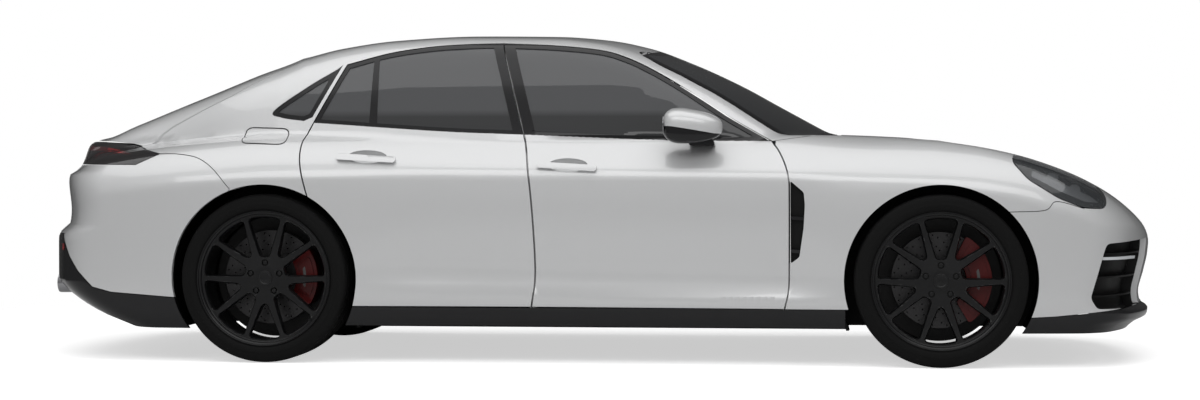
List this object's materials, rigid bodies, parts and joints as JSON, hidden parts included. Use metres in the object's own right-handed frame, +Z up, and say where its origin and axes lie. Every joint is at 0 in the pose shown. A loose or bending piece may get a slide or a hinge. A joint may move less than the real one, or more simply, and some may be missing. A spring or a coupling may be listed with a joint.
{
  "type": "sports sedan",
  "caption": "Low four-door sports sedan with a long hood, sloping rear hatch, opening doors, and turning and steered wheels.",
  "frame": {"origin": "on the floor under the middle of the car's length and width", "axes": "+X forward, +Z up, +Y to the car's left"},
  "size_m": [5.0503, 1.9984, 1.4792],
  "materials": {
    "paint": "gloss clear coat",
    "gloss_black": "gloss",
    "glass": "tinted, smooth",
    "headlamp": "smoked clear lens",
    "tail_lamp": "smoked red lens",
    "liner": "coarse matte",
    "dash": "fine grain",
    "leather": "fine grain",
    "wheel": "satin black paint",
    "tyre": "matte rubber",
    "steel": "plain",
    "caliper": "dark red gloss",
    "engine": "cast"
  },
  "bodies": {
    "body_shell": {"body_side_left": "paint", "body_side_right": "paint", "dashboard": "dash", "engine_block": "engine", "fender_left": "paint", "fender_right": "paint", "floor_pan": "liner", "front_bumper": "paint", "front_grille": "gloss_black", "front_seat_left": "leather", "front_seat_right": "leather", "front_splitter": "gloss_black", "front_subframe": "steel", "headlamp_left": "headlamp", "headlamp_right": "headlamp", "quarter_glass_left": "glass", "quarter_glass_right": "glass", "rear_bumper": "paint", "rear_carrier_left": "caliper", "rear_carrier_right": "caliper", "rear_diffuser": "gloss_black", "rear_seat": "leather", "rear_subframe": "steel", "roof_panel": "paint", "skirt_left": "gloss_black", "skirt_right": "gloss_black", "tail_lamps": "tail_lamp", "windshield": "glass"},
    "door_front_right": {"door_front_right": "paint", "door_glass_front_right": "glass", "mirror_right": "gloss_black"},
    "door_front_left": {"door_front_left": "paint", "door_glass_front_left": "glass", "mirror_left": "gloss_black"},
    "door_rear_right": {"door_rear_right": "paint", "door_glass_rear_right": "glass"},
    "door_rear_left": {"door_rear_left": "paint", "door_glass_rear_left": "glass"},
    "hood": {"hood": "paint"},
    "hatch": {"hatch": "paint", "rear_window": "glass"},
    "fuel_flap": {"fuel_flap": "paint"},
    "steering_wheel": {"steering_wheel": "leather"},
    "knuckle_right": {"knuckle_right": "caliper"},
    "knuckle_left": {"knuckle_left": "caliper"},
    "wheel_front_right": {"wheel_front_right": "wheel", "tyre_front_right": "tyre"},
    "wheel_front_left": {"wheel_front_left": "wheel", "tyre_front_left": "tyre"},
    "wheel_rear_right": {"wheel_rear_right": "wheel", "tyre_rear_right": "tyre"},
    "wheel_rear_left": {"wheel_rear_left": "wheel", "tyre_rear_left": "tyre"}
  },
  "joints": [
    {"name": "door_front_right_hinge", "type": "hinge", "parent": "body_shell", "child": "door_front_right", "pos_m": [0.90405, -0.93924, 0.70004], "axis": [0, 0, 1], "range_deg": [0, 65]},
    {"name": "door_front_left_hinge", "type": "hinge", "parent": "body_shell", "child": "door_front_left", "pos_m": [0.90405, 0.93924, 0.70004], "axis": [0, 0, -1], "range_deg": [0, 65]},
    {"name": "door_rear_right_hinge", "type": "hinge", "parent": "body_shell", "child": "door_rear_right", "pos_m": [-0.22433, -0.93092, 0.78588], "axis": [-0.1194, 0, 0.9928], "range_deg": [0, 65]},
    {"name": "door_rear_left_hinge", "type": "hinge", "parent": "body_shell", "child": "door_rear_left", "pos_m": [-0.22433, 0.93092, 0.78588], "axis": [0.1194, 0, -0.9928], "range_deg": [0, 65]},
    {"name": "hood_hinge", "type": "hinge", "parent": "body_shell", "child": "hood", "pos_m": [0.9551, 0, 0.99456], "axis": [0, -1, 0], "range_deg": [0, 50]},
    {"name": "hatch_hinge", "type": "hinge", "parent": "body_shell", "child": "hatch", "pos_m": [-1.2633, 0, 1.42524], "axis": [0, 1, 0], "range_deg": [0, 75]},
    {"name": "fuel_flap_hinge", "type": "hinge", "parent": "body_shell", "child": "fuel_flap", "pos_m": [-1.3183, -0.80185, 0.9916], "axis": [-0.1189, 0.8362, 0.5353], "range_deg": [0, 80]},
    {"name": "steering_wheel_turn", "type": "hinge", "parent": "body_shell", "child": "steering_wheel", "pos_m": [0.5935, 0.3591, 0.8128], "axis": [0.9136, 0, -0.4067], "range_deg": [-480, 480]},
    {"name": "steer_right", "type": "hinge", "parent": "body_shell", "child": "knuckle_right", "pos_m": [1.551, -0.7305, 0.372], "axis": [0, 0, 1], "range_deg": [-36, 36]},
    {"name": "steer_left", "type": "hinge", "parent": "body_shell", "child": "knuckle_left", "pos_m": [1.551, 0.7305, 0.372], "axis": [0, 0, 1], "range_deg": [-36, 36]},
    {"name": "wheel_front_right_spin", "type": "hinge", "parent": "knuckle_right", "child": "wheel_front_right", "pos_m": [1.551, -0.8255, 0.372], "axis": [0, 1, 0], "continuous": true},
    {"name": "wheel_front_left_spin", "type": "hinge", "parent": "knuckle_left", "child": "wheel_front_left", "pos_m": [1.551, 0.8255, 0.372], "axis": [0, 1, 0], "continuous": true},
    {"name": "wheel_rear_right_spin", "type": "hinge", "parent": "body_shell", "child": "wheel_rear_right", "pos_m": [-1.399, -0.8065, 0.372], "axis": [0, 1, 0], "continuous": true},
    {"name": "wheel_rear_left_spin", "type": "hinge", "parent": "body_shell", "child": "wheel_rear_left", "pos_m": [-1.399, 0.8065, 0.372], "axis": [0, 1, 0], "continuous": true}
  ],
  "couplings": [
    {"joint": "steer_left", "follows": "steer_right", "ratio": 1},
    {"joint": "steering_wheel_turn", "follows": "steer_right", "ratio": -13.3}
  ]
}
